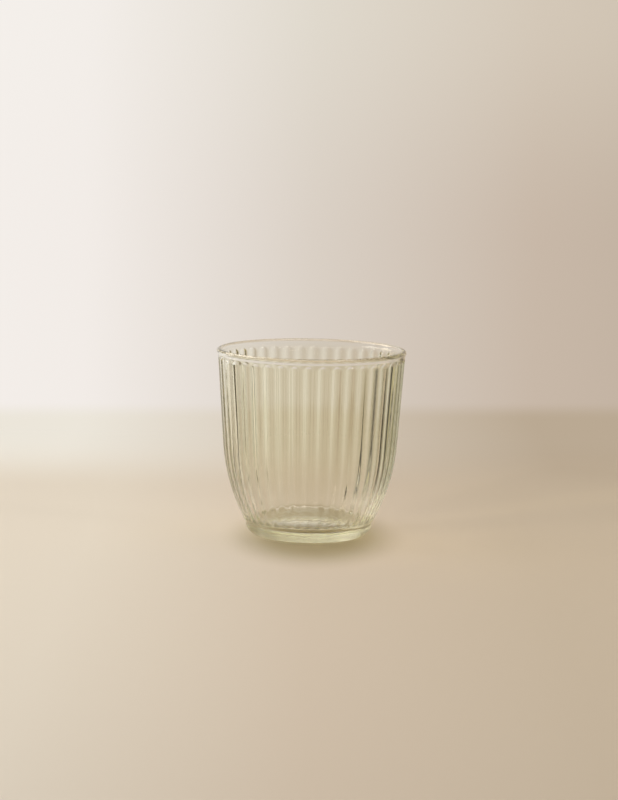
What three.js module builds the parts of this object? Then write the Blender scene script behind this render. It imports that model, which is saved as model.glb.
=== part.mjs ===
// Fluted drinking glass: one pressed-glass tumbler, modelled as the three zones that its mould forms.
// The zones are the rim, the fluted wall and the foot, and they meet face to face at the mould's parting lines.
// Millimetres, +Z up. The origin is the middle of the resting face, and the front of the glass looks along -Y.
import * as THREE from 'three';

// Rim: a rounded bead over a smooth collar that flares out of the wall
const HEIGHT = 86; // table to the top of the bead
const RIM_RADIUS = 43.5; // outside of the bead
const RIM_THICKNESS = 2.75; // across the bead
const BEAD_HEIGHT = 1.4; // rounded part of the bead
const COLLAR_HEIGHT = 1.9; // bead to the tops of the flutes
const COLLAR_FLARE = 0.6; // how far the bead stands out over the wall

// Wall: a straight taper above a belly, which is one arc
const WALL_TAPER = 2.95; // radius lost from the collar to the top of the belly
const BELLY_TOP = 42; // height where the taper turns into the belly
const BELLY_ARC = 86; // radius of the belly's curve
const WALL_THICKNESS = 2.4; // at the top of the belly

// Flutes: shallow waves pressed into the outside of the wall, with rounded ends
const FLUTE_COUNT = 42;
const FLUTE_DEPTH = 0.57; // at the top of the wall; it shrinks with the wall's radius
const FLUTE_TOP_END = 2.2; // length of the rounded end under the collar
const FLUTE_FOOT_END = 0.8; // length of the end above the foot
const RIDGE_AZIMUTH = 2.85; // degrees from the front to the nearest ridge, towards +X

// Foot: a plain rounded band under a small step, with the floor of the glass in its top
const FOOT_HEIGHT = 7.3; // table to the wall's lower edge
const STEP_HEIGHT = 1.5; // wall's lower edge to the top of the band
const STEP_DEPTH = 0.8; // how far the band stands in from the wall
const BAND_TAPER = 3.9; // radius lost down the band
const FOOT_EDGE = 0.5; // rounding where the band meets the resting face
const RESTING_WIDTH = 2.9; // flat ring that touches the table
const PUSH_UP = 1.2; // height of the hollow under the foot
const FLOOR_DIP = 3.3; // floor's depth below the wall's lower edge
const INSIDE_CORNER = 10; // rounding between the wall and the floor

// Facets
const FLUTE_FACETS = 6;
const WALL_SEGMENTS = FLUTE_COUNT * FLUTE_FACETS;
const ROUND_SEGMENTS = 84;
const BELLY_STEPS = 5;
const INSIDE_STEPS = 8;
const END_STEPS = 3;
const BEAD_STEPS = 8;
const CURVE_STEPS = 4;

// Levels and radii that the zones share
const collarTop = HEIGHT - BEAD_HEIGHT;
const wallTop = collarTop - COLLAR_HEIGHT;
const floorLevel = FOOT_HEIGHT - FLOOR_DIP;
const outside = taperOverArc(RIM_RADIUS - COLLAR_FLARE, wallTop, WALL_TAPER, BELLY_ARC);
const insideTop = RIM_RADIUS - RIM_THICKNESS;
const insideTaper = insideTop - (outside.bellyRadius - WALL_THICKNESS);
const inside = taperOverArc(insideTop, collarTop, insideTaper, BELLY_ARC - WALL_THICKNESS);
const corner = floorCorner(inside, floorLevel);

const point = (radius, z) => new THREE.Vector2(radius, z);

// A list of points, one for each share from 0 to 1
function sweep(steps, pointAt) {
  return Array.from({ length: steps + 1 }, (_, step) => pointAt(step / steps));
}

// One side of the wall: a straight taper down to the belly, then an arc that carries on from it
function taperOverArc(topRadius, topZ, taper, arc) {
  const bellyRadius = topRadius - taper;
  const lean = Math.atan2(taper, topZ - BELLY_TOP);
  const centreRadius = bellyRadius - arc * Math.cos(lean);
  const centreZ = BELLY_TOP + arc * Math.sin(lean);
  const radiusAt = (z) => {
    if (z >= BELLY_TOP) {
      return bellyRadius + (z - BELLY_TOP) * Math.tan(lean);
    }
    return centreRadius + Math.sqrt(arc ** 2 - (z - centreZ) ** 2);
  };
  return { bellyRadius, arc, centreRadius, centreZ, radiusAt };
}

// The rounding that touches both the floor and the inside of the belly, no larger than the floor allows
function floorCorner(side, level) {
  const radius = Math.min(INSIDE_CORNER, side.radiusAt(level) / 2);
  const centreZ = level + radius;
  const rise = centreZ - side.centreZ;
  const centreRadius = side.centreRadius + Math.sqrt((side.arc - radius) ** 2 - rise ** 2);
  const endAngle = Math.atan2(rise, centreRadius - side.centreRadius);
  const endZ = centreZ + radius * Math.sin(endAngle);
  const radiusAt = (z) => centreRadius + Math.sqrt(Math.max(0, radius ** 2 - (z - centreZ) ** 2));
  return { endZ, radiusAt };
}

// The inside's radius at a height, on the rounding or on the wall above it
function insideRadius(z) {
  return z < corner.endZ ? corner.radiusAt(z) : inside.radiusAt(z);
}

// Points on one side of the wall between two heights
function sidePoints(radiusAt, fromZ, toZ, steps) {
  return sweep(steps, (share) => {
    const z = fromZ + (toZ - fromZ) * share;
    return point(radiusAt(z), z);
  });
}

// A solid of revolution about +Z from an outline that runs up its outside
function turned(outline, segments, startAngle = 0) {
  const geometry = new THREE.LatheGeometry(outline, segments, startAngle);
  return geometry.rotateX(Math.PI / 2);
}

// How far through a flute's rounded end a height lies: 0 along the flute, 1 at its tip
function endShare(z) {
  const fromTop = (z - (wallTop - FLUTE_TOP_END)) / FLUTE_TOP_END;
  const fromFoot = (FOOT_HEIGHT + FLUTE_FOOT_END - z) / FLUTE_FOOT_END;
  return Math.max(0, fromTop, fromFoot);
}

// Presses the flutes into the first rings of the wall, which are its outside
function pressFlutes(geometry, outline, outsideRings) {
  const position = geometry.attributes.position;
  for (let vertex = 0; vertex < position.count; vertex += 1) {
    const ring = vertex % outline.length;
    if (ring < outsideRings) {
      const facet = Math.floor(vertex / outline.length) % FLUTE_FACETS;
      const wave = (1 - Math.cos((2 * Math.PI * facet) / FLUTE_FACETS)) / 2;
      const z = outline[ring].y;
      const hollow = Math.max(0, wave - endShare(z) ** 2);
      const shrink = 1 - (FLUTE_DEPTH * hollow) / outside.radiusAt(wallTop);
      position.setXYZ(vertex, position.getX(vertex) * shrink, position.getY(vertex) * shrink, z);
    }
  }
  geometry.computeVertexNormals();
  return geometry;
}

// The rim: collar, bead and the top of the inside
function rimGeometry() {
  const wallRadius = outside.radiusAt(wallTop);
  const collar = sweep(CURVE_STEPS, (share) => {
    const flare = COLLAR_FLARE * (1 - Math.cos(Math.PI * share)) / 2;
    return point(wallRadius + flare, wallTop + COLLAR_HEIGHT * share);
  });
  const bead = sweep(BEAD_STEPS, (share) => {
    const angle = Math.PI * share;
    const across = (RIM_THICKNESS / 2) * (Math.cos(angle) - 1);
    return point(RIM_RADIUS + across, collarTop + BEAD_HEIGHT * Math.sin(angle));
  });
  const lower = point(insideRadius(wallTop), wallTop);
  return turned([lower, ...collar, ...bead.slice(1), lower], ROUND_SEGMENTS);
}

// The fluted wall: outside from the foot up, then inside from the collar down
function wallGeometry() {
  const footEnd = FOOT_HEIGHT + FLUTE_FOOT_END;
  const topEnd = wallTop - FLUTE_TOP_END;
  const lowEnd = sidePoints(outside.radiusAt, FOOT_HEIGHT, footEnd, END_STEPS);
  const belly = sidePoints(outside.radiusAt, footEnd, BELLY_TOP, BELLY_STEPS);
  const highEnd = sidePoints(outside.radiusAt, topEnd, wallTop, END_STEPS);
  const outer = [...lowEnd, ...belly.slice(1), ...highEnd];
  const inner = [
    point(insideRadius(wallTop), wallTop),
    ...sidePoints(insideRadius, BELLY_TOP, FOOT_HEIGHT, INSIDE_STEPS),
  ];
  const outline = [...outer, ...inner, outer[0]];
  const ridgeAngle = THREE.MathUtils.degToRad(RIDGE_AZIMUTH);
  return pressFlutes(turned(outline, WALL_SEGMENTS, ridgeAngle), outline, outer.length);
}

// The foot: push-up, resting ring, rounded band, step, and the floor of the glass in its top
function footGeometry() {
  const wallRadius = outside.radiusAt(FOOT_HEIGHT);
  const bandTop = point(wallRadius - STEP_DEPTH, FOOT_HEIGHT - STEP_HEIGHT);
  const bandRadius = (z) => bandTop.x - BAND_TAPER * (1 - z / bandTop.y) ** 2;
  const bandFoot = point(bandRadius(0), 0);
  const edgeStart = point(bandFoot.x - FOOT_EDGE, 0);
  const edgeEnd = point(bandRadius(FOOT_EDGE), FOOT_EDGE);
  const hollowRadius = edgeStart.x - RESTING_WIDTH;
  const hollow = sweep(CURVE_STEPS, (share) => point(hollowRadius * share, PUSH_UP * (1 - share ** 2)));
  const edge = new THREE.QuadraticBezierCurve(edgeStart, bandFoot, edgeEnd).getPoints(CURVE_STEPS);
  const band = sidePoints(bandRadius, FOOT_EDGE, bandTop.y, CURVE_STEPS);
  const step = sweep(CURVE_STEPS, (share) => {
    const out = STEP_DEPTH * (1 - Math.cos((Math.PI / 2) * share));
    return point(bandTop.x + out, bandTop.y + STEP_HEIGHT * Math.sin((Math.PI / 2) * share));
  });
  const dish = sweep(CURVE_STEPS, (share) => {
    const z = FOOT_HEIGHT - FLOOR_DIP * Math.sin((Math.PI / 2) * share);
    return point(insideRadius(z), z);
  });
  const outline = [...hollow, ...edge, ...band.slice(1, -1), ...step, ...dish, point(0, floorLevel)];
  return turned(outline, ROUND_SEGMENTS);
}

// The glass, pale green all over, with the rim and foot a little smoother than the pressed wall
const GLASS_COLOUR = 0xd8dab6;
const zones = [
  { name: 'rim', geometry: rimGeometry(), roughness: 0.03 },
  { name: 'fluted_wall', geometry: wallGeometry(), roughness: 0.06 },
  { name: 'foot', geometry: footGeometry(), roughness: 0.04 },
];

const tumbler = new THREE.Group();
for (const { name, geometry, roughness } of zones) {
  const material = new THREE.MeshStandardMaterial({ color: GLASS_COLOUR, roughness, metalness: 0 });
  const mesh = new THREE.Mesh(geometry, material);
  mesh.name = name;
  tumbler.add(mesh);
}

export default tumbler;
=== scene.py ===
"""A fluted drinking glass of pale olive pressed glass, on a plain sweep under soft light.

Metres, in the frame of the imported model: +Z up, with the front of the glass along -Y.
"""

import logging
import math
from dataclasses import dataclass
from enum import Enum
from typing import Any, Callable, Iterable

import bmesh
import bpy
from mathutils import Color, Matrix, Vector


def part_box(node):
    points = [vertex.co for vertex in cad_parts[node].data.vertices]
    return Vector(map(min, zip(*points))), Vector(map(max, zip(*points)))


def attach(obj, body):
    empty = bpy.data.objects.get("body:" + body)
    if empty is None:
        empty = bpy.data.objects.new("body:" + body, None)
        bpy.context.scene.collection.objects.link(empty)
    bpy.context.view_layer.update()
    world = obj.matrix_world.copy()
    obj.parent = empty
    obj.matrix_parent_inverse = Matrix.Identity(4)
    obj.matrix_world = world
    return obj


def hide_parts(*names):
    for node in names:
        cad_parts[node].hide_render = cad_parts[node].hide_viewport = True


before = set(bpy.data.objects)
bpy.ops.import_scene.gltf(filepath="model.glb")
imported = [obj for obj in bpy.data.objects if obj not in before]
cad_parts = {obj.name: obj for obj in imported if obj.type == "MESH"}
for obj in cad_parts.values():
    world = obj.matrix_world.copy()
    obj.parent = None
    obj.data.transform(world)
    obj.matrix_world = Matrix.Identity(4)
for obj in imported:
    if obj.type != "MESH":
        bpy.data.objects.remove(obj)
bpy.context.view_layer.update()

LOG = logging.getLogger("drinking_glass")

MM = 0.001
WELD = 0.001 * MM
FULL_TURN = 2 * math.pi
QUARTER_TURN = math.pi / 2
ABOUT_Z = {"cent": (0, 0, 0), "axis": (0, 0, 1)}

SCREEN_WHITE = 255
WHITE = (1.0, 1.0, 1.0)
BOUNCES = 96
CLEAR_BOUNCES = 16

Colour = tuple[float, float, float]
Point = tuple[float, float]
Place = tuple[float, float, float]
Line = list[bmesh.types.BMVert | bmesh.types.BMEdge]


def linear(red: int, green: int, blue: int) -> Colour:
    """Turns an 8-bit screen colour into linear light."""
    screen = Color((red / SCREEN_WHITE, green / SCREEN_WHITE, blue / SCREEN_WHITE))
    return tuple(screen.from_srgb_to_scene_linear())


def opaque(colour: Colour) -> tuple[float, float, float, float]:
    """The colour with full alpha, as colour sockets take it."""
    return (*colour, 1.0)


def curve(steps: int, point_at: Callable[[float], Point]) -> list[Point]:
    """Samples a curve from its start to its end.

    Args:
        steps: How many stretches the curve is cut into.
        point_at: Gives the point at a share from 0 to 1.

    Returns:
        The points, both ends included.
    """
    return [point_at(step / steps) for step in range(steps + 1)]


def ease(share: float) -> float:
    """A share from 0 to 1 that starts and ends slowly."""
    return (1 - math.cos(math.pi * share)) / 2


def draw_line(shape: bmesh.types.BMesh, points: Iterable[Place | Vector]) -> Line:
    """Draws a line of joined points.

    Args:
        shape: Where the line goes.
        points: The line's points in order.

    Returns:
        The line's vertices and then its edges.
    """
    corners = [shape.verts.new(point) for point in points]
    edges = [shape.edges.new(pair) for pair in zip(corners, corners[1:])]
    return [*corners, *edges]


def draw_out(shape: bmesh.types.BMesh, line: Line, along: Place) -> None:
    """Draws a line out into a sheet.

    Args:
        shape: The shape that holds the line.
        line: The line's vertices and edges.
        along: How far the sheet's other side lies from the line.
    """
    edges = [part for part in line if isinstance(part, bmesh.types.BMEdge)]
    moved = bmesh.ops.extrude_edge_only(shape, edges=edges)["geom"]
    corners = [part for part in moved if isinstance(part, bmesh.types.BMVert)]
    bmesh.ops.translate(shape, verts=corners, vec=along)


class NodeBench:
    """Adds nodes to one node tree and joins them."""

    # Where a Mix node keeps its share, its two colours and the mixed colour
    MIX_SHARE, MIX_FIRST, MIX_SECOND, MIX_RESULT = 0, 6, 7, 2

    def __init__(self, tree: bpy.types.NodeTree) -> None:
        """Takes the tree to work on."""
        self.tree = tree

    def add(self, kind: str, inputs: dict[str | int, Any] | None = None, **settings: Any) -> bpy.types.Node:
        """Adds a node.

        Args:
            kind: The node's type name, without its leading ShaderNode.
            inputs: Input sockets by name or place, each with a value or with the socket that feeds it.
            **settings: The node's own properties.

        Returns:
            The new node.
        """
        node = self.tree.nodes.new("ShaderNode" + kind)
        for name, value in settings.items():
            setattr(node, name, value)
        for key, value in (inputs or {}).items():
            if isinstance(value, bpy.types.NodeSocket):
                self.tree.links.new(value, node.inputs[key])
            else:
                node.inputs[key].default_value = value
        return node

    def math(self, operation: str, *values: Any, clamp: bool = False) -> bpy.types.NodeSocket:
        """Adds a Math node.

        Args:
            operation: The operation's name.
            *values: Its inputs, each a number or a socket.
            clamp: Whether the result is kept from 0 to 1.

        Returns:
            The result's socket.
        """
        node = self.add("Math", dict(enumerate(values)), operation=operation, use_clamp=clamp)
        return node.outputs["Value"]

    def vector(self, operation: str, *values: Any, result: str = "Vector") -> bpy.types.NodeSocket:
        """Adds a Vector Math node.

        Args:
            operation: The operation's name.
            *values: Its inputs, each a vector or a socket.
            result: Which output is wanted, Vector or Value.

        Returns:
            The result's socket.
        """
        return self.add("VectorMath", dict(enumerate(values)), operation=operation).outputs[result]

    def noise(self, place: bpy.types.NodeSocket, scale: float, detail: float) -> bpy.types.NodeSocket:
        """Adds soft noise.

        Args:
            place: The place that is looked up.
            scale: How fine the noise is.
            detail: How many finer layers it has.

        Returns:
            The noise's socket, from 0 to 1.
        """
        return self.add("TexNoise", {"Vector": place, "Scale": scale, "Detail": detail}).outputs["Fac"]

    def ramp(self, factor: bpy.types.NodeSocket, stops: list[tuple[float, Colour]]) -> bpy.types.NodeSocket:
        """Adds a colour ramp.

        Args:
            factor: What drives the ramp.
            stops: Places from 0 to 1 with their colours.

        Returns:
            The colour's socket.
        """
        node = self.add("ValToRGB", {"Fac": factor})
        elements = node.color_ramp.elements
        while len(elements) > 1:
            elements.remove(elements[-1])
        for index, (place, colour) in enumerate(stops):
            element = elements[0] if index == 0 else elements.new(place)
            element.position = place
            element.color = opaque(colour)
        return node.outputs["Color"]

    def mix(self, share: bpy.types.NodeSocket, first: Any, second: Any) -> bpy.types.NodeSocket:
        """Adds a colour mix.

        Args:
            share: How much of the second colour shows, from 0 to 1.
            first: The colour, or its socket, where the share is 0.
            second: The colour, or its socket, where the share is 1.

        Returns:
            The mixed colour's socket.
        """
        inputs = {self.MIX_SHARE: share, self.MIX_FIRST: first, self.MIX_SECOND: second}
        return self.add("Mix", inputs, data_type="RGBA").outputs[self.MIX_RESULT]

    def mix_shaders(self, share: bpy.types.NodeSocket, first: bpy.types.NodeSocket,
                    second: bpy.types.NodeSocket) -> bpy.types.NodeSocket:
        """Adds a mix of two shaders.

        Args:
            share: How much of the second shader shows, from 0 to 1.
            first: The shader where the share is 0.
            second: The shader where the share is 1.

        Returns:
            The mixed shader's socket.
        """
        return self.add("MixShader", {0: share, 1: first, 2: second}).outputs["Shader"]

    def between(self, value: bpy.types.NodeSocket, low: float, high: float) -> bpy.types.NodeSocket:
        """Adds a smooth step.

        Args:
            value: The value to place.
            low: Where the result is 0.
            high: Where the result is 1.

        Returns:
            The result's socket, from 0 to 1.
        """
        node = self.add(
            "MapRange",
            {"Value": value, "From Min": low, "From Max": high},
            interpolation_type="SMOOTHSTEP",
        )
        return node.outputs["Result"]

    def put_out(self, shader: bpy.types.NodeSocket, socket: str = "Surface") -> None:
        """Feeds a shader to one socket of the material's output."""
        self.tree.links.new(shader, self.tree.nodes["Material Output"].inputs[socket])


def new_material(name: str) -> tuple[bpy.types.Material, NodeBench]:
    """Makes a material with an empty node tree apart from its output.

    Args:
        name: The material's name.

    Returns:
        The material and a bench for its nodes.
    """
    material = bpy.data.materials.new(name)
    material.use_nodes = True
    for node in list(material.node_tree.nodes):
        if node.type != "OUTPUT_MATERIAL":
            material.node_tree.nodes.remove(node)
    return material, NodeBench(material.node_tree)


def new_object(name: str, shape: bmesh.types.BMesh, material: bpy.types.Material) -> bpy.types.Object:
    """Turns a bmesh into a smooth-shaded object at the origin.

    Args:
        name: The object's name.
        shape: The finished shape, which is freed.
        material: The finish for all its faces.

    Returns:
        The new object.
    """
    mesh = bpy.data.meshes.new(name)
    for face in shape.faces:
        face.smooth = True
    shape.to_mesh(mesh)
    shape.free()
    mesh.materials.append(material)
    piece = bpy.data.objects.new(name, mesh)
    bpy.context.scene.collection.objects.link(piece)
    return piece


def show_in_glass_only(card: bpy.types.Object) -> None:
    """Hides a card from the camera and the floor, so that it shows only in and through the glass.

    Args:
        card: The card.
    """
    card.visible_camera = False
    card.visible_diffuse = False
    card.visible_shadow = False


@dataclass(frozen=True)
class PressedGlassFinish:
    """Pale olive pressed glass, with a clearer surface at the rim and foot than on the fluted wall."""

    wall_tint: Colour = (0.953, 0.942, 0.847)
    belly_tint: Colour = (0.964, 0.962, 0.939)
    clear_tint: Colour = (0.99, 0.988, 0.965)
    fade: float = 6 * MM
    refraction: float = 1.5
    body_tint: Colour = (0.52, 0.49, 0.14)
    body_density: float = 12.0
    mould_haze: float = 0.012
    foot_haze: float = 0.1
    cord_scale: float = 180.0
    cord_detail: float = 2.0
    cord_stretch: Place = (1.0, 1.0, 0.12)
    streak: float = 0.5
    least_streak: float = 0.75
    ripple_scale: float = 70.0
    ripple_detail: float = 1.0
    ripple_height: float = 0.02 * MM
    shadow_tint: Colour = (0.985, 0.98, 0.965)

    def make(self, foot_top: float, belly_top: float, wall_top: float) -> bpy.types.Material:
        """Builds the material.

        Args:
            foot_top: Height where the fluted wall starts.
            belly_top: Height where the wall's belly ends.
            wall_top: Height where the fluted wall ends.

        Returns:
            The glass.
        """
        material, bench = new_material("pressed_glass")
        place = bench.add("TexCoord").outputs["Object"]
        height = bench.add("SeparateXYZ", {0: place}).outputs["Z"]
        half_fade = self.fade / 2
        above_foot = bench.between(height, foot_top - half_fade, foot_top + half_fade)
        under_rim = bench.between(height, wall_top + half_fade, wall_top - half_fade)
        on_wall = bench.math("MULTIPLY", above_foot, under_rim)

        # Faint upright cords in the wall's tint, as pressed glass has them
        drawn_up = bench.add("Mapping", {"Vector": place, "Scale": self.cord_stretch}).outputs["Vector"]
        cords = bench.noise(drawn_up, self.cord_scale, self.cord_detail)
        streaked = bench.math("MULTIPLY_ADD", cords, self.streak, self.least_streak)
        strength = bench.math("MULTIPLY", on_wall, streaked, clamp=True)
        above_belly = bench.between(height, foot_top, belly_top)
        wall = bench.mix(above_belly, opaque(self.belly_tint), opaque(self.wall_tint))
        tint = bench.mix(strength, opaque(self.clear_tint), wall)

        # A little haze from the mould, most of it on the foot, and a slow ripple all over
        wall_haze = bench.math("MULTIPLY", bench.math("MULTIPLY", on_wall, cords), self.mould_haze)
        below = bench.between(height, foot_top, foot_top - half_fade)
        haze = bench.math("MULTIPLY_ADD", below, self.foot_haze, wall_haze)
        ripple = bench.noise(place, self.ripple_scale, self.ripple_detail)
        bump = bench.add("Bump", {"Strength": 1.0, "Distance": self.ripple_height, "Height": ripple})

        glass = bench.add(
            "BsdfPrincipled",
            {
                "Base Color": tint,
                "Roughness": haze,
                "IOR": self.refraction,
                "Transmission Weight": 1.0,
                "Normal": bump.outputs["Normal"],
            },
        )
        clear = bench.add("BsdfTransparent", {"Color": opaque(self.shadow_tint)})
        for_shadows = bench.add("LightPath").outputs["Is Shadow Ray"]
        bench.put_out(bench.mix_shaders(for_shadows, glass.outputs["BSDF"], clear.outputs["BSDF"]))
        body = bench.add("VolumeAbsorption", {"Color": opaque(self.body_tint), "Density": self.body_density})
        bench.put_out(body.outputs["Volume"], "Volume")
        return material


@dataclass
class WallSide:
    """One side of the wall: a straight taper above a belly, which is one arc."""

    top_radius: float
    top: float
    belly_radius: float
    belly_top: float
    arc: float

    def __post_init__(self) -> None:
        """Works out the arc's centre, so that the belly carries on from the taper."""
        self.lean = math.atan2(self.top_radius - self.belly_radius, self.top - self.belly_top)
        self.centre_radius = self.belly_radius - self.arc * math.cos(self.lean)
        self.centre_height = self.belly_top + self.arc * math.sin(self.lean)

    def radius_at(self, height: float) -> float:
        """The side's radius at a height.

        Args:
            height: Height above the table.

        Returns:
            The radius, on the taper or on the belly.
        """
        if height >= self.belly_top:
            return self.belly_radius + (height - self.belly_top) * math.tan(self.lean)
        return self.centre_radius + math.sqrt(self.arc ** 2 - (height - self.centre_height) ** 2)

    def stretch(self, start: float, end: float, steps: int) -> list[Point]:
        """Points on the side between two heights.

        Args:
            start: First height.
            end: Last height.
            steps: How many stretches lie between them.

        Returns:
            The points, as radius and height.
        """
        def point_at(share: float) -> Point:
            """The point at a share of the way."""
            height = start + (end - start) * share
            return self.radius_at(height), height

        return curve(steps, point_at)


@dataclass(frozen=True)
class Cuts:
    """How many stretches each curve of the glass is cut into."""

    push_up: int = 8
    foot_edge: int = 6
    band: int = 10
    step: int = 6
    flute_foot_end: int = 5
    flute_top_end: int = 12
    wall: int = 26
    collar: int = 6
    bead: int = 14
    corner: int = 10
    floor: int = 3
    flute: int = 16


@dataclass
class Tumbler:
    """The drinking glass: one continuous body with a rim, a fluted wall and a foot."""

    finish: PressedGlassFinish
    cuts: Cuts = Cuts()
    bead_height: float = 1.4 * MM
    rim_thickness: float = 2.75 * MM
    wall_taper: float = 2.95 * MM
    belly_top: float = 42 * MM
    belly_arc: float = 86 * MM
    wall_thickness: float = 2.4 * MM
    flute_count: int = 42
    flute_depth: float = 0.57 * MM
    flute_top_end: float = 2.2 * MM
    flute_foot_end: float = 0.8 * MM
    ridge_azimuth: float = math.radians(2.85)
    step_height: float = 2.4 * MM
    step_depth: float = 0.8 * MM
    band_taper: float = 3.9 * MM
    foot_edge: float = 0.5 * MM
    resting_width: float = 2.9 * MM
    push_up: float = 1.2 * MM
    floor_dip: float = 3.3 * MM
    inside_corner: float = 10 * MM

    def __post_init__(self) -> None:
        """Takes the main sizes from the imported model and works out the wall's two sides."""
        rim_low, rim_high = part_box("rim")
        foot_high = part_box("foot")[1]
        self.height = rim_high.z
        self.rim_radius = rim_high.x
        self.wall_top = rim_low.z
        self.foot_top = foot_high.z
        self.collar_top = self.height - self.bead_height
        self.floor = self.foot_top - self.floor_dip
        outside_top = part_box("fluted_wall")[1].x
        inside_top = self.rim_radius - self.rim_thickness
        belly = outside_top - self.wall_taper
        self.outside = WallSide(outside_top, self.wall_top, belly, self.belly_top, self.belly_arc)
        self.inside = WallSide(
            inside_top,
            self.collar_top,
            belly - self.wall_thickness,
            self.belly_top,
            self.belly_arc - self.wall_thickness,
        )

    def foot_outline(self) -> list[Point]:
        """The foot's outside from the middle of its underside to the wall's lower edge.

        Returns:
            The points, as radius and height.
        """
        band_top = self.outside.radius_at(self.foot_top) - self.step_depth
        band_height = self.foot_top - self.step_height

        def band_radius(height: float) -> float:
            """The band's radius at a height."""
            return band_top - self.band_taper * (1 - height / band_height) ** 2

        def band_point(share: float) -> Point:
            """The band's point at a share of the way up from the rounded edge."""
            height = self.foot_edge + (band_height - self.foot_edge) * share
            return band_radius(height), height

        band_foot = band_radius(0.0)
        resting = band_foot - self.foot_edge
        hollow = resting - self.resting_width
        under = curve(self.cuts.push_up, lambda share: (hollow * share, self.push_up * (1 - share ** 2)))
        edge = curve(self.cuts.foot_edge, lambda share: (
            resting * (1 - share) ** 2
            + band_foot * 2 * share * (1 - share)
            + band_radius(self.foot_edge) * share ** 2,
            self.foot_edge * share ** 2,
        ))
        band = curve(self.cuts.band, band_point)
        step = curve(self.cuts.step, lambda share: (
            band_top + self.step_depth * (1 - math.cos(QUARTER_TURN * share)),
            band_height + self.step_height * math.sin(QUARTER_TURN * share),
        ))
        return [*under, *edge, *band[1:-1], *step[:-1]]

    def wall_outline(self) -> list[Point]:
        """The wall's outside from the foot to the collar, with closer points at the flutes' ends.

        Returns:
            The points, as radius and height.
        """
        foot_end = self.foot_top + self.flute_foot_end
        top_end = self.wall_top - self.flute_top_end
        low = self.outside.stretch(self.foot_top, foot_end, self.cuts.flute_foot_end)
        middle = self.outside.stretch(foot_end, top_end, self.cuts.wall)
        high = self.outside.stretch(top_end, self.wall_top, self.cuts.flute_top_end)
        return [*low, *middle[1:-1], *high]

    def rim_outline(self) -> list[Point]:
        """The collar and the bead, from the wall's top to the inside.

        Returns:
            The points, as radius and height.
        """
        wall_radius = self.outside.radius_at(self.wall_top)
        flare = self.rim_radius - wall_radius
        collar_height = self.collar_top - self.wall_top
        collar = curve(self.cuts.collar, lambda share: (
            wall_radius + flare * ease(share),
            self.wall_top + collar_height * share,
        ))
        bead = curve(self.cuts.bead, lambda share: (
            self.rim_radius + self.rim_thickness / 2 * (math.cos(math.pi * share) - 1),
            self.collar_top + self.bead_height * math.sin(math.pi * share),
        ))
        return [*collar[1:], *bead[1:]]

    def inside_outline(self) -> list[Point]:
        """The inside from the bead to the middle of the floor.

        Returns:
            The points, as radius and height.
        """
        side, radius = self.inside, self.inside_corner
        corner_height = self.floor + radius
        rise = corner_height - side.centre_height
        corner_radius = side.centre_radius + math.sqrt((side.arc - radius) ** 2 - rise ** 2)
        start = math.atan2(rise, corner_radius - side.centre_radius)
        end = -QUARTER_TURN
        wall_end = corner_height + radius * math.sin(start)
        wall = side.stretch(self.collar_top, wall_end, self.cuts.wall)
        corner = curve(self.cuts.corner, lambda share: (
            corner_radius + radius * math.cos(start + (end - start) * share),
            corner_height + radius * math.sin(start + (end - start) * share),
        ))
        floor = curve(self.cuts.floor, lambda share: (corner_radius * (1 - share), self.floor))
        return [*wall[1:], *corner[1:], *floor[1:]]

    def flute_hollow(self, azimuth: float, height: float) -> float:
        """How deep a flute is pressed at a place on the wall.

        Args:
            azimuth: Angle from the front, growing towards +X.
            height: Height above the table.

        Returns:
            The share of the flutes' full depth, from 0 to 1.
        """
        turn = (azimuth - self.ridge_azimuth) * self.flute_count
        wave = (1 - math.cos(turn)) / 2
        from_top = (height - (self.wall_top - self.flute_top_end)) / self.flute_top_end
        from_foot = (self.foot_top + self.flute_foot_end - height) / self.flute_foot_end
        return max(0.0, wave - max(0.0, from_top, from_foot) ** 2)

    def press_flutes(self, shape: bmesh.types.BMesh) -> None:
        """Presses the flutes into the outside of the wall.

        Args:
            shape: The turned body.
        """
        top_radius = self.outside.radius_at(self.wall_top)
        for vertex in shape.verts:
            height = vertex.co.z
            if not self.foot_top < height < self.wall_top:
                continue
            middle = (self.outside.radius_at(height) + self.inside.radius_at(height)) / 2
            if vertex.co.xy.length < middle:
                continue
            hollow = self.flute_hollow(math.atan2(vertex.co.x, -vertex.co.y), height)
            shrink = 1 - self.flute_depth * hollow / top_radius
            vertex.co.x *= shrink
            vertex.co.y *= shrink

    def turn_body(self) -> bmesh.types.BMesh:
        """Turns the outline through one flute, presses that flute and repeats it all round.

        Returns:
            The closed body.
        """
        outline = [
            *self.foot_outline(),
            *self.wall_outline(),
            *self.rim_outline(),
            *self.inside_outline(),
        ]
        pitch = FULL_TURN / self.flute_count
        shape = bmesh.new()
        start = Matrix.Rotation(self.ridge_azimuth, 3, "Z")
        line = draw_line(shape, [start @ Vector((0, -radius, height)) for radius, height in outline])
        bmesh.ops.spin(shape, geom=line, angle=pitch, steps=self.cuts.flute, **ABOUT_Z)
        self.press_flutes(shape)
        one_flute = [*shape.verts, *shape.edges, *shape.faces]
        copies = self.flute_count - 1
        bmesh.ops.spin(
            shape,
            geom=one_flute,
            angle=pitch * copies,
            steps=copies,
            use_duplicate=True,
            **ABOUT_Z,
        )
        bmesh.ops.remove_doubles(shape, verts=shape.verts, dist=WELD)
        bmesh.ops.recalc_face_normals(shape, faces=shape.faces)
        return shape

    def build(self) -> bpy.types.Object:
        """Shapes and dresses the glass.

        Returns:
            The finished glass.
        """
        glass = self.finish.make(self.foot_top, self.belly_top, self.wall_top)
        piece = new_object("pressed_tumbler", self.turn_body(), glass)
        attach(piece, "root")
        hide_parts("rim", "fluted_wall", "foot")
        return piece


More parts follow.
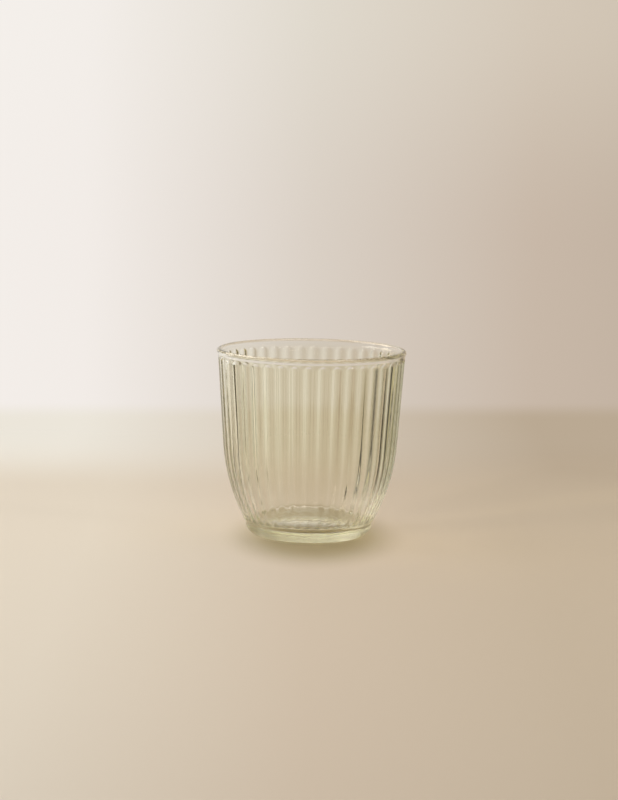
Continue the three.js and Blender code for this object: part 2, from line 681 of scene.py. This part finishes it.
@dataclass(frozen=True)
class PaperFinish:
    """Warm studio paper, painted lighter on the left and darker on the right where light falls off, with the
    far floor and backdrop glowing as if lit through from behind.

    Only its front shows, so that it doesn't hide the glass from the back.
    """

    # Painted light: each ramp runs from lighter on the left to darker on the right, as light falls off
    # across the paper
    near_floor: tuple[Colour, ...] = (linear(219, 208, 191), linear(205, 189, 169), linear(196, 180, 158))
    far_floor: tuple[Colour, ...] = (linear(236, 230, 218), linear(212, 199, 182), linear(186, 169, 147))
    backdrop: tuple[Colour, ...] = (
        linear(255, 253, 250),
        linear(242, 236, 231),
        linear(218, 208, 197),
        linear(200, 184, 168),
        linear(150, 135, 112),
    )
    backdrop_top: tuple[Colour, ...] = (
        linear(255, 253, 250),
        linear(243, 238, 233),
        linear(224, 217, 205),
        linear(212, 200, 184),
        linear(170, 154, 130),
    )
    near_stops: tuple[float, ...] = (-0.1, 0.0, 0.1)
    far_stops: tuple[float, ...] = (-0.13, 0.0, 0.13)
    backdrop_stops: tuple[float, ...] = (-0.65, -0.13, 0.0, 0.13, 0.65)
    near: float = 0.12
    far: float = 0.32
    top_start: float = 0.1
    top_end: float = 0.25
    reach: float = 1.0
    roughness: float = 0.9
    gloss: float = 0.15
    # Painted shadow round the foot, and a darker painted contact shadow right under it
    shade: Colour = (0.56, 0.545, 0.4)
    shade_middle: Place = (2 * MM, -6 * MM, 0.0)
    shade_stretch: Place = (1.35, 0.68, 1.0)
    shade_core: float = 22 * MM
    shade_reach: float = 60 * MM
    contact_shadow: Colour = (0.5, 0.475, 0.37)
    contact_shadow_core: float = 20 * MM
    contact_shadow_reach: float = 27 * MM

    def across(self, bench: NodeBench, sideways: bpy.types.NodeSocket, places: tuple[float, ...],
               colours: tuple[Colour, ...]) -> bpy.types.NodeSocket:
        """Adds a ramp that runs from left to right.

        Args:
            bench: Where the nodes go.
            sideways: The place along X.
            places: The stops' places along X.
            colours: The stops' colours.

        Returns:
            The colour's socket.
        """
        share = bench.add("MapRange", {"Value": sideways, "From Min": -self.reach, "From Max": self.reach})
        shares = [(place + self.reach) / (2 * self.reach) for place in places]
        return bench.ramp(share.outputs["Result"], list(zip(shares, colours)))

    def under_glass(self, bench: NodeBench, spot: bpy.types.NodeSocket) -> bpy.types.NodeSocket:
        """Adds the painted shade under and round the foot: a soft painted shadow, and a darker painted
        contact shadow under the foot itself.

        Args:
            bench: Where the nodes go.
            spot: The spot on the paper.

        Returns:
            The colour that the paper is multiplied by.
        """
        # Soft painted shadow round the foot
        offset = bench.vector("SUBTRACT", spot, self.shade_middle)
        stretched = bench.vector("MULTIPLY", offset, self.shade_stretch)
        away = bench.vector("LENGTH", stretched, result="Value")
        open_floor = bench.between(away, self.shade_core, self.shade_reach)
        soft = bench.mix(open_floor, opaque(self.shade), opaque(WHITE))
        # Darker painted contact shadow under the foot
        from_axis = bench.vector("LENGTH", spot, result="Value")
        beside_foot = bench.between(from_axis, self.contact_shadow_core, self.contact_shadow_reach)
        under_foot = bench.mix(beside_foot, opaque(self.contact_shadow), opaque(WHITE))
        return bench.vector("MULTIPLY", soft, under_foot)

    def make(self, fold: float) -> bpy.types.Material:
        """Builds the material.

        Args:
            fold: Height where the floor has turned into the backdrop.

        Returns:
            The paper.
        """
        material, bench = new_material("sweep_paper")
        spot = bench.add("TexCoord").outputs["Object"]
        place = bench.add("SeparateXYZ", {0: spot}).outputs
        near_floor = self.across(bench, place["X"], self.near_stops, self.near_floor)
        far_floor = self.across(bench, place["X"], self.far_stops, self.far_floor)
        low_backdrop = self.across(bench, place["X"], self.backdrop_stops, self.backdrop)
        high_backdrop = self.across(bench, place["X"], self.backdrop_stops, self.backdrop_top)
        raised = bench.between(place["Z"], self.top_start, self.top_end)
        backdrop = bench.mix(raised, low_backdrop, high_backdrop)
        distance = bench.between(place["Y"], self.near, self.far)
        shaded = bench.vector("MULTIPLY", near_floor, self.under_glass(bench, spot))
        floor = bench.mix(distance, shaded, far_floor)
        upright = bench.between(place["Z"], 0.0, fold)
        paper = bench.add(
            "BsdfPrincipled",
            {"Base Color": floor, "Roughness": self.roughness, "Specular IOR Level": self.gloss},
        )
        # The far floor and the backdrop glow with their painted colours instead of taking light from the
        # lamps
        lit = bench.add("Emission", {"Color": bench.mix(upright, far_floor, backdrop)})
        front = bench.mix_shaders(distance, paper.outputs["BSDF"], lit.outputs["Emission"])
        from_behind = bench.add("NewGeometry").outputs["Backfacing"]
        clear = bench.add("BsdfTransparent").outputs["BSDF"]
        bench.put_out(bench.mix_shaders(from_behind, front, clear))
        return material


@dataclass
class Sweep:
    """The floor and the backdrop in one sheet with a soft fold."""

    finish: PaperFinish
    front: float = -3.0
    back: float = 0.393
    top: float = 1.2
    half_width: float = 3.0
    fold: float = 0.01
    fold_cuts: int = 8
    turn: float = math.radians(7.3)

    def build(self) -> bpy.types.Object:
        """Draws the sheet's outline out sideways.

        Returns:
            The sheet, which is part of the stage.
        """
        fold = curve(self.fold_cuts, lambda share: (
            self.back - self.fold * (1 - math.sin(QUARTER_TURN * share)),
            self.fold * (1 - math.cos(QUARTER_TURN * share)),
        ))
        outline = [(self.front, 0.0), *fold, (self.back, self.top)]
        shape = bmesh.new()
        line = draw_line(shape, [(-self.half_width, depth, height) for depth, height in outline])
        draw_out(shape, line, (2 * self.half_width, 0, 0))
        about = Vector((0, self.back, 0))
        turned = Matrix.Rotation(self.turn, 3, "Z")
        bmesh.ops.rotate(shape, verts=shape.verts, cent=about, matrix=turned)
        sheet = new_object("sweep", shape, self.finish.make(self.fold))
        return sheet


class Side(Enum):
    """Which side of the glass a flag stands on, seen from the front."""

    LEFT = -1
    RIGHT = 1


class PaintedGlow(Enum):
    """The painted glow that a flag shows in its shades, as linear light."""

    BLACK = (0.012, 0.009, 0.002)
    DARK = (0.05, 0.042, 0.012)
    TAN = (0.33, 0.28, 0.14)
    SAND = (0.58, 0.51, 0.3)


# Degrees round the glass from straight behind it, each with the painted glow there, which the flutes show as
# dark lines and light bands
RIGHT_SHADES = (
    (28, PaintedGlow.SAND),
    (31, PaintedGlow.BLACK),
    (44, PaintedGlow.BLACK),
    (47, PaintedGlow.SAND),
    (55, PaintedGlow.SAND),
    (57, PaintedGlow.BLACK),
    (71, PaintedGlow.BLACK),
    (74, PaintedGlow.SAND),
)
LEFT_SHADES = (
    (63, PaintedGlow.TAN),
    (65, PaintedGlow.DARK),
    (72, PaintedGlow.DARK),
    (74, PaintedGlow.TAN),
)


@dataclass
class PaintedFlag:
    """A glowing card behind one side of the glass, hidden from the camera, which paints dark lines into the
    flutes.
    """

    side: Side
    shades: tuple[tuple[float, PaintedGlow], ...]
    soft_turn: float = math.radians(2)
    near: float = 0.06
    soft_reach: float = 0.03
    far: float = 0.26
    lift: float = 0.5 * MM
    height: float = 0.05
    cuts: int = 24

    def __post_init__(self) -> None:
        """Runs the flag from its first shade to its last."""
        self.start = math.radians(self.shades[0][0])
        self.end = math.radians(self.shades[-1][0])

    def make_finish(self) -> bpy.types.Material:
        """Builds a glowing card, seen only in the glass as a painted reflection, that fades in at its edges
        and changes its shade round the glass.

        Returns:
            The material.
        """
        material, bench = new_material(f"flag_{self.side.name.lower()}")
        place = bench.add("TexCoord").outputs["Object"]
        axes = bench.add("SeparateXYZ", {0: place}).outputs
        flat = bench.add("CombineXYZ", {0: axes["X"], 1: axes["Y"]}).outputs["Vector"]
        reach = bench.vector("LENGTH", flat, result="Value")
        sideways = bench.math("MULTIPLY", axes["X"], float(self.side.value))
        turn = bench.math("ARCTAN2", sideways, axes["Y"])
        from_near = bench.between(reach, self.near, self.near + self.soft_reach)
        from_start = bench.between(turn, self.start, self.start + self.soft_turn)
        to_end = bench.between(turn, self.end, self.end - self.soft_turn)
        shown = bench.math("MULTIPLY", from_near, bench.math("MULTIPLY", from_start, to_end))
        half_turns = bench.math("DIVIDE", turn, math.pi)
        stops = [(math.radians(degrees) / math.pi, glow.value) for degrees, glow in self.shades]
        colour = bench.ramp(half_turns, stops)
        clear = bench.add("BsdfTransparent").outputs["BSDF"]
        # The card glows with the painted shades; the glass shows them as dark lines and light bands
        glow = bench.add("Emission", {"Color": colour}).outputs["Emission"]
        bench.put_out(bench.mix_shaders(shown, clear, glow))
        return material

    def build(self) -> bpy.types.Object:
        """Spins a flat apron, with a low wall at its far edge, round the glass.

        Returns:
            The flag, which is part of the stage.
        """
        shape = bmesh.new()
        outline = [(self.near, self.lift), (self.far, self.lift), (self.far, self.height)]
        begin = Matrix.Rotation(-self.side.value * self.start, 3, "Z")
        line = draw_line(shape, [begin @ Vector((0, reach, height)) for reach, height in outline])
        turn = -self.side.value * (self.end - self.start)
        bmesh.ops.spin(shape, geom=line, angle=turn, steps=self.cuts, **ABOUT_Z)
        painted_flag = new_object(f"flag_{self.side.name.lower()}", shape, self.make_finish())
        show_in_glass_only(painted_flag)
        return painted_flag


@dataclass
class HighlightCard:
    """A glowing card high up behind the glass, hidden from the camera and the floor, which paints a
    highlight onto the foot through the wall.
    """

    left: float = -1.5
    right: float = -0.13
    low: float = 0.26
    high: float = 1.2
    depth: float = 0.3
    colour: Colour = (1.0, 0.91, 0.78)
    strength: float = 5.0

    def build(self) -> bpy.types.Object:
        """Draws the card's lower edge out upwards.

        Returns:
            The card, which is part of the stage.
        """
        material, bench = new_material("highlight_card")
        # The card glows, and shows only in the glass as a painted highlight
        light = bench.add("Emission", {"Color": opaque(self.colour), "Strength": self.strength})
        bench.put_out(light.outputs["Emission"])
        shape = bmesh.new()
        edge = draw_line(shape, [(side, self.depth, self.low) for side in (self.left, self.right)])
        draw_out(shape, edge, (0, 0, self.high - self.low))
        card = new_object("highlight_card", shape, material)
        show_in_glass_only(card)
        return card


@dataclass
class Softbox:
    """A square soft lamp that looks at the glass."""

    name: str
    location: Place
    size: float
    watts: float
    colour: Colour = WHITE
    aim: Place = (0.0, 0.0, 0.04)

    def build(self) -> bpy.types.Object:
        """Hangs the lamp.

        Returns:
            The lamp.
        """
        lamp = bpy.data.lights.new(self.name, "AREA")
        lamp.shape = "SQUARE"
        lamp.size = self.size
        lamp.energy = self.watts
        lamp.color = self.colour
        holder = bpy.data.objects.new(self.name, lamp)
        bpy.context.scene.collection.objects.link(holder)
        holder.location = self.location
        look = Vector(self.aim) - Vector(self.location)
        holder.rotation_mode = "QUATERNION"
        holder.rotation_quaternion = look.to_track_quat("-Z", "Y")
        return holder


@dataclass(frozen=True)
class Room:
    """The light that the room gives from all round, brighter from one side."""

    bright: Colour = (0.95, 0.95, 0.95)
    dim: Colour = (0.2, 0.18, 0.145)
    towards_dim: Place = (0.5, -0.87, 0.0)
    strength: float = 0.7

    def build(self) -> bpy.types.World:
        """Builds the world.

        Returns:
            The world, set on the scene.
        """
        world = bpy.data.worlds.new("room")
        bpy.context.scene.world = world
        world.use_nodes = True
        bench = NodeBench(world.node_tree)
        direction = bench.add("TexCoord").outputs["Generated"]
        side = bench.vector("DOT_PRODUCT", direction, self.towards_dim, result="Value")
        shade = bench.between(side, -1.0, 1.0)
        light = bench.ramp(shade, [(0.0, self.bright), (1.0, self.dim)])
        background = world.node_tree.nodes["Background"]
        bench.tree.links.new(light, background.inputs["Color"])
        background.inputs["Strength"].default_value = self.strength
        return world


@dataclass(frozen=True)
class PhotoCamera:
    """The camera at the photograph's viewing angle."""

    location: Place = (-0.0008, -1.4, 0.2466)
    pitch: float = math.radians(7.5)
    roll: float = math.radians(1.0)
    focal_pixels: float = 3077.0
    image_height: int = 800
    sensor: float = 36.0

    def build(self) -> bpy.types.Object:
        """Sets up the camera.

        Returns:
            The camera, set on the scene.
        """
        lens = bpy.data.cameras.new("photo_camera")
        lens.sensor_width = self.sensor
        lens.lens = self.focal_pixels / self.image_height * self.sensor
        camera = bpy.data.objects.new("photo_camera", lens)
        bpy.context.scene.collection.objects.link(camera)
        tilt = Matrix.Rotation(QUARTER_TURN - self.pitch, 4, "X")
        roll = Matrix.Rotation(self.roll, 4, "Z")
        camera.matrix_world = Matrix.Translation(self.location) @ tilt @ roll
        bpy.context.scene.camera = camera
        return camera


def set_looks() -> None:
    """Sets the view transform and lets light run along inside the wall, from the foot up to the rim."""
    scene = bpy.context.scene
    scene.view_settings.view_transform = "Standard"
    scene.cycles.use_denoising = True
    scene.cycles.max_bounces = BOUNCES
    scene.cycles.transmission_bounces = BOUNCES
    scene.cycles.glossy_bounces = BOUNCES
    scene.cycles.transparent_max_bounces = CLEAR_BOUNCES


def main() -> None:
    """Builds the camera, the stage, the light and the glass."""
    logging.basicConfig(level=logging.INFO, format="%(name)s: %(message)s")
    set_looks()
    PhotoCamera().build()
    stage = [
        Sweep(PaperFinish()),
        PaintedFlag(Side.RIGHT, RIGHT_SHADES),
        PaintedFlag(Side.LEFT, LEFT_SHADES),
        HighlightCard(),
        Softbox("key", location=(-0.9, 0.25, 0.9), size=0.8, watts=7.5),
        Softbox("overhead", location=(0.2, 0.0, 1.6), size=1.4, watts=15.0),
    ]
    for item in stage:
        made = item.build()
        LOG.info("stage: %s", made.name)
    Room().build()
    piece = Tumbler(PressedGlassFinish()).build()
    LOG.info("piece: %s with %d faces", piece.name, len(piece.data.polygons))


if __name__ == "__main__":
    main()
